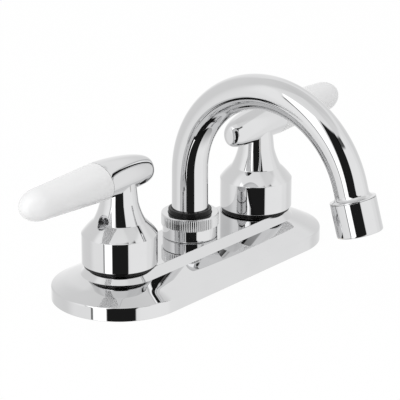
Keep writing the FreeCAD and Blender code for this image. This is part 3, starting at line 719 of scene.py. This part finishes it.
# %% Hole of the set screw
screw_low, screw_high = box_of("right_set_screw")
SCREW_HEIGHT = float(screw_low[Z] + screw_high[Z]) / 2
SCREW_PLAY = 0.05
SCREW_HOLE = float(screw_high[Z] - screw_low[Z]) / 2 + SCREW_PLAY
SCREW_HOLE_END = 6.0                        # of the hole's floor from the valve axis
BELL_COLUMNS = 192
WINDOW_COLUMNS = 13                         # on each side of the screw
WINDOW_MARGIN = 1.1
WINDOW_ROWS = np.array([0.0, 0.03, 0.2, 0.45, 0.7, 0.9, 1.0])[:, None]
print("set screw hole: radius %.2f mm at height %.1f mm" % (SCREW_HOLE, SCREW_HEIGHT))


def bell_grids(side):
    """The turned bell with a window left open, a ring of quads in it, and the screw hole.

    The ring blends row and angle between the window's border and the circle where a bar along the
    lever's direction meets the bell, so all its points still lie on the turned surface.
    """
    outline = bell_outline()
    rows = np.arange(len(outline))
    upper = rows[outline[:, 1] > BELL_EDGE - 1][:-1]
    first = int(upper[outline[upper, 1] < SCREW_HEIGHT - SCREW_HOLE - WINDOW_MARGIN][-1])
    last = int(upper[outline[upper, 1] > SCREW_HEIGHT + SCREW_HOLE + WINDOW_MARGIN][0])

    def on_bell(row, angle):
        radius, height = np.interp(row, rows, outline[:, 0]), np.interp(row, rows, outline[:, 1])
        x, y, z = np.broadcast_arrays(radius * np.cos(angle), radius * np.sin(angle), height)
        return np.stack([side * (VALVE_X + x), y, z], axis=-1)

    angle = np.linspace(0, 2 * np.pi, BELL_COLUMNS, endpoint=False)
    window = np.arange(-WINDOW_COLUMNS, WINDOW_COLUMNS + 1)
    rest = np.arange(WINDOW_COLUMNS, BELL_COLUMNS - WINDOW_COLUMNS + 1)
    grids = [(on_bell(rows[:first + 1, None], angle), False, True),
             (on_bell(rows[first:last + 1, None], angle[rest]), False, False),
             (on_bell(rows[last:, None], angle), False, True)]
    step = 2 * np.pi / BELL_COLUMNS
    tall = np.arange(first, last)
    border_row = np.concatenate([first + 0 * window[:-1], tall,
                                 last + 0 * window[:-1], tall[::-1] + 1])
    border_angle = step * np.concatenate([window[:-1], window[-1] + 0 * tall,
                                          window[:0:-1], window[0] + 0 * tall])
    border = on_bell(border_row, border_angle)
    around = np.arctan2(border[:, 2] - SCREW_HEIGHT, border[:, 1])
    rim_y, rim_z = SCREW_HOLE * np.cos(around), SCREW_HEIGHT + SCREW_HOLE * np.sin(around)
    rim_row = np.interp(rim_z, outline[upper, 1], upper)
    rim_angle = np.arcsin(rim_y / np.interp(rim_row, rows, outline[:, 0]))
    ring = on_bell(rim_row * (1 - WINDOW_ROWS) + border_row * WINDOW_ROWS,
                   rim_angle * (1 - WINDOW_ROWS) + border_angle * WINDOW_ROWS)
    floor_x = side * (VALVE_X + SCREW_HOLE_END)
    wall = np.stack([ring[0], ring[0]])
    wall[1, :, 0] = floor_x
    bottom = np.stack([wall[1], 0 * wall[1] + np.array([floor_x, 0.0, SCREW_HEIGHT])])
    return grids + [(ring, False, True), (wall, False, True), (bottom, False, True)]


# %% Both handles and grips
for side_name, side in (("left", -1), ("right", 1)):
    casting = bell_grids(side) + [(hub_grid(side), False, True)]
    handle = mesh_piece(side_name + "_handle_casting", casting)
    dress(handle, side_name + "_handle")
    grip = mesh_piece(side_name + "_white_grip", [(grip_grid(side), False, True)])
    dress(grip, side_name + "_grip")


# %% [markdown]
# ## Spout tube
#
# The spout is a bent tube that tapers a little. Its centre line is a straight rise and two arcs
# in one plane, so the direction across the bend is known exactly at every point, and the tube's
# skin is centre + radius x (cos a across + sin a sideways). No curve object is needed.

# %% Spout path
tube_low, tube_high = box_of("spout_tube")
TUBE_BOTTOM = float(tube_low[Z])
RISE = 47.6
BEND_ONE, ANGLE_ONE = 46.1, math.radians(125.0)
BEND_TWO, ANGLE_TWO = 48.2, math.radians(163.5)
END_LENGTH = 3.4
FOOT_RADIUS = float(tube_high[X])
END_RADIUS = 7.75
TUBE_WALL = 1.0
RISE_ROWS, ONE_ROWS, TWO_ROWS, END_ROWS = 24, 110, 44, 6
TUBE_COLUMNS = 128


def spout_path():
    """Centre points (y, z), turn angles and distances along the path."""
    rise_z = np.linspace(TUBE_BOTTOM, RISE, RISE_ROWS, endpoint=False)
    one = np.linspace(0, ANGLE_ONE, ONE_ROWS, endpoint=False)
    two = np.linspace(ANGLE_ONE, ANGLE_TWO, TWO_ROWS)
    end = np.linspace(0, END_LENGTH, END_ROWS)[1:]
    corner_y = -BEND_ONE * (1 - math.cos(ANGLE_ONE))
    corner_z = RISE + BEND_ONE * math.sin(ANGLE_ONE)
    two_y = corner_y - BEND_TWO * (math.cos(ANGLE_ONE) - np.cos(two))
    two_z = corner_z + BEND_TWO * (np.sin(two) - math.sin(ANGLE_ONE))
    y = np.concatenate([0 * rise_z, -BEND_ONE * (1 - np.cos(one)), two_y,
                        two_y[-1] - end * math.sin(ANGLE_TWO)])
    z = np.concatenate([rise_z, RISE + BEND_ONE * np.sin(one), two_z,
                        two_z[-1] + end * math.cos(ANGLE_TWO)])
    turn = np.concatenate([0 * rise_z, one, two, ANGLE_TWO + 0 * end])
    length = np.concatenate([[0], np.cumsum(np.hypot(np.diff(y), np.diff(z)))])
    return y, z, turn, length


def spout_skin(inset):
    """Grid of the tube's skin: centre + (radius - inset) x (cos a sideways + sin a across)."""
    y, z, turn, length = spout_path()
    radius = FOOT_RADIUS + (END_RADIUS - FOOT_RADIUS) * length / length[-1] - inset
    angle = np.linspace(0, 2 * np.pi, TUBE_COLUMNS, endpoint=False)[None, :]
    sideways, across = radius[:, None] * np.cos(angle), radius[:, None] * np.sin(angle)
    return np.stack([sideways, y[:, None] + across * np.cos(turn)[:, None],
                     z[:, None] + across * np.sin(turn)[:, None]], axis=-1)


# %% Tube surface
tube_shell = np.concatenate([spout_skin(0), spout_skin(TUBE_WALL)[::-1]])
spout = mesh_piece("spout_bent_tube", [(tube_shell, True, True)])
dress(spout, "spout_tube")


# %% [markdown]
# ## Spout foot
#
# The spout stands in a plain ring, a fluted nut that is tightened by hand, and a black bush that
# lets it turn. The flutes could be cut out one by one, but they are small and many, so here they
# are part of the radius itself: a cosine of the angle, sharpened a little, times how far inside
# the fluted band the row lies.

# %% Sizes of the ring, the nut and the bush
ring_low, ring_high = box_of("spout_base_ring")
collar_low, collar_high = box_of("collar_nut")
bush_low, bush_high = box_of("spout_bush")
FLUTES = 80
FLUTE_DEPTH = 0.24
FLUTE_COLUMNS = 10                          # points round each flute
FLUTE_SHARPNESS = 2.2
FOOT_EDGE, FOOT_FADE = 0.15, 0.15           # above the nut's foot, where the flutes start
CROWN_EDGE, CROWN_FADE = 0.3, 0.35          # under its top, where they run out
CROWN_ROUND = 0.8
SKIN_DEPTH, SKIN_FADE = 1.2, 1.0            # inwards from the outside, so the bore stays round
JOINT_LINE = 0.05                           # dark line between ring and nut
RISER_CLEAR = 11.5                          # bore of ring and nut round the riser
LIP_BORE, LIP_HEIGHT = 10.3, 1.2            # of the nut's lip over the bush
BUSH_PLAY = 0.07
BUSH_FLANGE, BUSH_FLANGE_HEIGHT = 11.1, 0.9
BUSH_NECK = 10.2


# %% Ring under the nut
base_ring_outline = rounded_outline([
    (RISER_CLEAR, ring_low[Z], 0.1), (ring_high[X], ring_low[Z], 0.7),
    (ring_high[X], ring_high[Z], 0.2), (RISER_CLEAR, ring_high[Z], 0.1)], closed=True)
base_ring = mesh_piece("spout_foot_ring", [(turned(base_ring_outline), True, True)])
dress(base_ring, "spout_base_ring")


# %% Fluted nut
def fluted_nut():
    """Ring of radius r - depth x band x (0.5 - 0.5 cos(flutes x a)) ^ sharpness, a the angle."""
    outer = float(collar_high[X])
    bottom, top = float(collar_low[Z]) + JOINT_LINE, float(collar_high[Z])
    outline = rounded_outline([
        (RISER_CLEAR, bottom, 0.1), (outer, bottom, 0.12), (outer, bottom + 0.3, 0),
        (outer, bottom + 0.4, 0), (outer, top - 1.1, 0), (outer, top - 0.9, 0),
        (outer, top, CROWN_ROUND), (LIP_BORE, top, 0.25),
        (LIP_BORE, top - LIP_HEIGHT, 0.1), (RISER_CLEAR, top - LIP_HEIGHT, 0)], closed=True)
    angle = np.linspace(0, 2 * np.pi, FLUTES * FLUTE_COLUMNS, endpoint=False)
    wave = 0.5 - 0.5 * np.cos(FLUTES * angle)
    groove = wave ** FLUTE_SHARPNESS
    radius, height = outline[:, :1], outline[:, 1:]
    band = smooth_step((height - bottom - FOOT_EDGE) / FOOT_FADE)
    band = band * smooth_step((top - CROWN_EDGE - height) / CROWN_FADE)
    band = band * smooth_step((radius - outer + SKIN_DEPTH) / SKIN_FADE)
    dipped = radius - FLUTE_DEPTH * band * groove[None, :]
    return np.stack([dipped * np.cos(angle), dipped * np.sin(angle), height + 0 * dipped], axis=-1)


collar = mesh_piece("fluted_collar_nut", [(fluted_nut(), True, True)], crisp=50.0)
dress(collar, "collar_nut")


# %% Bush
bush_bore = FOOT_RADIUS + BUSH_PLAY
flange_top = bush_low[Z] + BUSH_FLANGE_HEIGHT
bush_outline = rounded_outline([
    (bush_bore, bush_low[Z], 0.1), (BUSH_FLANGE, bush_low[Z], 0.1), (BUSH_FLANGE, flange_top, 0.1),
    (BUSH_NECK, flange_top + 0.05, 0), (BUSH_NECK, bush_high[Z], 0.55),
    (bush_bore, bush_high[Z], 0.2)], closed=True)
bush = mesh_piece("black_spout_bush", [(turned(bush_outline), True, True)])
dress(bush, "spout_bush")


# %% [markdown]
# ## Cover nuts
#
# A flat black nut clamps the cover on each valve. Only its flange shows, as a dark line under the
# bell, but the hub above it is made too, because the bell turns round it. It is one more turned
# outline, this time about the valve's axis.

# %% Black cover nuts
NUT_BORE, NUT_HUB, NUT_FLANGE_HEIGHT = 13.06, 14.8, 1.2

for side_name, side in (("left", -1), ("right", 1)):
    low, high = box_of(side_name + "_cover_nut")
    half, flange_top = (high[Y] - low[Y]) / 2, low[Z] + NUT_FLANGE_HEIGHT
    nut_outline = rounded_outline([
        (NUT_BORE, low[Z], 0.1), (half, low[Z], 0.15), (half, flange_top, 0.3),
        (NUT_HUB, flange_top, 0.1), (NUT_HUB, high[Z], 0.3), (NUT_BORE, high[Z], 0.2)], closed=True)
    nut_grid = turned(nut_outline, x=side * VALVE_X)
    cover_nut = mesh_piece(side_name + "_black_cover_nut", [(nut_grid, True, True)])
    dress(cover_nut, side_name + "_cover_nut")


# %% [markdown]
# ## Outlet
#
# The nose is brazed to the end of the tube and widens in a small cove; the aerator housing screws
# on below it. Both are turned outlines made about the vertical axis and then swung onto the
# outlet's direction, as whole arrays.

# %% Outlet sizes
AERATOR_RADIUS = width_of("aerator_housing", X) / 2
AERATOR_LENGTH = 15.6
COVE_LENGTH = 3.1
NOSE_START, NOSE_BORE, NOSE_SOCKET = -8.1, 5.6, 6.7
NOSE_THREAD, NOSE_THREAD_LENGTH = 9.0, 6.0
SLEEVE_START, SLEEVE_BORE, SLEEVE_SEAT, SLEEVE_SEAT_START = 0.15, 9.05, 8.6, 9.0
MOUTH_RADIUS, MOUTH_HEIGHT = 7.6, 1.4
print("outlet: radius %.2f mm" % AERATOR_RADIUS)


# %% From the vertical to the outlet's direction
def to_outlet(points):
    """joint + x sideways + y across + z along: swings a turned piece onto the end of the tube."""
    y, z, _, _ = spout_path()
    along = np.array([0.0, -math.sin(ANGLE_TWO), math.cos(ANGLE_TWO)])
    across = np.array([0.0, math.cos(ANGLE_TWO), math.sin(ANGLE_TWO)])
    joint = np.array([0.0, y[-1], z[-1]]) + along * COVE_LENGTH
    return (joint + points[..., :1] * np.array([1.0, 0.0, 0.0]) + points[..., 1:2] * across
            + points[..., 2:] * along)


# %% Nose
cove_end = (AERATOR_RADIUS - 0.1, -0.5)
cove = arc_points((END_RADIUS, -COVE_LENGTH), (END_RADIUS + 0.65, -0.38 * COVE_LENGTH), cove_end, 16)
nose_edge = rounded_outline([
    cove_end + (0,), (AERATOR_RADIUS, -0.3, 0.1), (AERATOR_RADIUS, 0, 0.12), (NOSE_THREAD, 0, 0),
    (NOSE_THREAD, NOSE_THREAD_LENGTH, 0), (NOSE_BORE, NOSE_THREAD_LENGTH, 0)], steps=5)
nose_back = np.array([[NOSE_BORE, NOSE_START], [NOSE_SOCKET, NOSE_START],
                      [NOSE_SOCKET, -COVE_LENGTH]])
nose_outline = np.concatenate([cove, nose_edge[1:], nose_back])
nose = mesh_piece("outlet_nose_cove", [(to_outlet(turned(nose_outline)), True, True)])
dress(nose, "outlet_nose")


# %% Aerator housing
mouth_top = AERATOR_LENGTH - MOUTH_HEIGHT
housing_outline = rounded_outline([
    (SLEEVE_BORE, SLEEVE_START, 0.05), (AERATOR_RADIUS, SLEEVE_START, 0.15),
    (AERATOR_RADIUS, AERATOR_LENGTH, 0.8), (MOUTH_RADIUS, AERATOR_LENGTH, 0.3),
    (MOUTH_RADIUS, mouth_top, 0.1), (SLEEVE_SEAT, mouth_top, 0),
    (SLEEVE_SEAT, SLEEVE_SEAT_START, 0), (SLEEVE_BORE, SLEEVE_SEAT_START, 0)], closed=True)
housing = mesh_piece("aerator_sleeve", [(to_outlet(turned(housing_outline)), True, True)])
dress(housing, "aerator_housing")


# %% [markdown]
# ## Camera
#
# A product photo is best matched by working the camera out, not by moving it about until it looks
# right. Outlines of the plate, the bells, the spout and the levers were measured in the photo, and
# a least-squares fit gave the direction, the distance and the focal length. The distance matters:
# it sets how much larger the near bell is than the far one. The aim is a point above the deck.

# %% Camera
CAMERA_AZIMUTH = math.radians(-50.98)
CAMERA_ELEVATION = math.radians(19.21)
CAMERA_DISTANCE = 1.1
AIM_HEIGHT = 0.03284
FOCAL_PIXELS = 2343.5
IMAGE_SIZE = 400
CENTRE_U = 189.93
SENSOR = 36.0


def direction_to(azimuth, elevation):
    """Unit vector: azimuth turns from -Y towards +X, elevation climbs from the deck."""
    return np.array([math.sin(azimuth) * math.cos(elevation),
                     -math.cos(azimuth) * math.cos(elevation), math.sin(elevation)])


toward_camera = direction_to(CAMERA_AZIMUTH, CAMERA_ELEVATION)
camera_data = bpy.data.cameras.new("photo_camera")
camera_data.sensor_width = SENSOR
camera_data.lens = SENSOR * FOCAL_PIXELS / IMAGE_SIZE
camera_data.shift_x = (IMAGE_SIZE / 2 - CENTRE_U) / IMAGE_SIZE
camera_data.clip_end = 50.0
camera = bpy.data.objects.new("photo_camera", camera_data)
camera.location = toward_camera * CAMERA_DISTANCE + np.array([0, 0, AIM_HEIGHT])
camera.rotation_euler = (math.pi / 2 - CAMERA_ELEVATION, 0, CAMERA_AZIMUTH)
bpy.context.scene.collection.objects.link(camera)
bpy.context.scene.camera = camera
print("camera %.2f m away, lens %.0f mm" % (CAMERA_DISTANCE, camera_data.lens))


# %% [markdown]
# ## World
#
# Chrome is only as good as the room round it. The photo was taken in a white tent: the metal shows
# pale walls, a dark opening towards the lens, a bright panel beside it and a dark gap to the right.
# Cards and walls could be built as objects, but they would have to be hidden from the lens one by
# one. A world that depends on the direction gives the same room with nothing to hide. Directions
# are given as the swing to the right of the lens and the climb above the horizon, in degrees.

# %% World
WALL_LEVEL = 0.76
MATT_LEVEL = 0.72                           # of the light on everything that isn't a mirror
METAL_GAIN = 1.3
LENS_SWING, LENS_LEAN, LENS_TOP = (-21, 28), 0.18, (49, 54)
PANEL_START, PANEL_END, PANEL_TOP = (-45, -42), (-23, -20), (47, 52)
PANEL_LEVEL = 1.25
PANEL_LEAN = 0.5
SEAM_SWING, SEAM_TOP = (-48, -44.5), (30, 36)
RAIL_SWING, RAIL_CLIMB = (28, 62), (38, 48)


def studio_world():
    """White for the lens, plain soft light for matt things, and the tent for the metal.

    The tent's level is the wall's level, brighter or darker by sectors, then multiplied down in
    the lens opening, the rail and the seam, and replaced by the panel's level where that stands.
    """
    world = bpy.data.worlds.new("studio_tent")
    bpy.context.scene.world = world
    paint = Paint(world)
    direction = paint.node("ShaderNodeTexCoord", None, out=0)
    ahead = (math.sin(CAMERA_AZIMUTH), -math.cos(CAMERA_AZIMUTH), 0.0)
    right = (math.cos(CAMERA_AZIMUTH), math.sin(CAMERA_AZIMUTH), 0.0)

    def along(vector):
        return paint.node("ShaderNodeVectorMath", {"operation": "DOT_PRODUCT"}, direction, vector,
                          out=1)

    swing = along(right).join("ARCTAN2", along(ahead)) * (180 / math.pi)
    climb = along((0.0, 0.0, 1.0)).join("ARCSINE") * (180 / math.pi)
    above = climb.join("MAXIMUM", 0.0)
    slant = swing + PANEL_LEAN * above
    panel = slant.ramp(*PANEL_START) * (1 - swing.ramp(*PANEL_END)) * (1 - climb.ramp(*PANEL_TOP))
    seam = slant.between(*SEAM_SWING, 0.6) * (1 - climb.ramp(*SEAM_TOP))
    lens = (swing - LENS_LEAN * above).between(*LENS_SWING, 1.5) * (1 - climb.ramp(*LENS_TOP))
    rail = swing.between(*RAIL_SWING, 3.0) * climb.between(*RAIL_CLIMB, 2.0)
    # The wall is duller behind on the left, and a little brighter on the right.
    level = WALL_LEVEL - 0.12 * swing.between(-155, -90, 12.0) + 0.05 * swing.between(32, 92, 6.0)
    # It glows left of the panel, and dims behind on the right.
    level = level + 0.08 * slant.between(-72, -45, 8.0) * climb.between(-12, 50, 8.0)
    level = level - 0.09 * swing.between(115, 172, 8.0) * climb.between(-45, 30, 6.0)
    # The tent's ceiling is duller on the right and at its top, and little comes from below.
    level = level - 0.14 * climb.ramp(43, 50) * (1 - swing.between(-155, 35, 12.0))
    level = level - 0.03 * climb.ramp(55, 75) - 0.45 * climb.ramp(-45, -75)
    # The openings are dark in the mirror, and the panel stands in front of the wall.
    level = level * (1 - 0.985 * lens) * (1 - 0.9 * rail) * (1 - 0.8 * seam)
    level = METAL_GAIN * (level * (1 - panel) + PANEL_LEVEL * panel)
    light_path = paint.tree.nodes.new("ShaderNodeLightPath")
    seen = Value(paint, light_path.outputs["Is Camera Ray"])
    glossy = Value(paint, light_path.outputs["Is Glossy Ray"])
    strength = MATT_LEVEL * (1 - glossy) + level * glossy
    strength = strength * (1 - seen) + 1.0 * seen
    background = paint.node("ShaderNodeBackground", None, Color=grey(1.0), Strength=strength)
    paint.node("ShaderNodeOutputWorld", None, background)


studio_world()
print("world:", bpy.context.scene.world.name)


# %% [markdown]
# ## Floor and lamps
#
# The floor is plain and pale. The lens sees nearly all of it as white, and a small share of the
# matt surface keeps the tap's soft shadow. Three soft lamps give the grips and the black parts
# their form: one from high on the left, a weaker one from the right, and a small one that falls
# on the end of the near lever.

# %% Floor
WHITE_SHARE = 0.975                         # of the floor's colour, for the lens
FLOOR_HALF = 12.0                           # metres


def floor_material():
    """What the lens sees is white x share + matt surface x (1 - share)."""
    material = bpy.data.materials.new("pale_floor")
    paint = Paint(material)
    place = paint.object_place()
    tone = paint.mix(paint.noise(place, 3.0), grey(0.86), grey(0.88))
    matt = paint.node("ShaderNodeBsdfDiffuse", None, Color=tone)
    glow = paint.node("ShaderNodeEmission", None, Color=grey(1.0), Strength=1.0)
    light_path = paint.tree.nodes.new("ShaderNodeLightPath")
    share = Value(paint, light_path.outputs["Is Camera Ray"]) * WHITE_SHARE
    mixed = paint.node("ShaderNodeMixShader", None, share, matt, glow)
    paint.node("ShaderNodeOutputMaterial", None, mixed)
    return material


floor_points = np.array([[[-1, -1, 0], [1, -1, 0]], [[-1, 1, 0], [1, 1, 0]]]) * FLOOR_HALF / MM
floor = mesh_piece("studio_floor", [(floor_points, False, False)])
floor.data.materials.append(floor_material())
floor.visible_glossy = False


# %% Lamps
def soft_lamp(name, azimuth, elevation, distance, size, power):
    """A square lamp that faces the tap: angles in degrees, sizes in metres, power in watts."""
    data = bpy.data.lights.new(name, "AREA")
    data.size = size
    data.energy = power
    lamp = bpy.data.objects.new(name, data)
    azimuth, elevation = math.radians(azimuth), math.radians(elevation)
    lamp.location = direction_to(azimuth, elevation) * distance
    lamp.rotation_euler = (math.pi / 2 - elevation, 0, azimuth)
    lamp.visible_glossy = False
    bpy.context.scene.collection.objects.link(lamp)


soft_lamp("key_softbox", -95, 55, 1.6, 1.2, 9.0)
soft_lamp("fill_softbox", 20, 40, 1.8, 1.4, 4.0)
soft_lamp("end_softbox", -85, 12, 1.2, 0.4, 3.0)
print("lamps:", len(bpy.data.lights))

bpy.context.scene.view_settings.view_transform = "Standard"
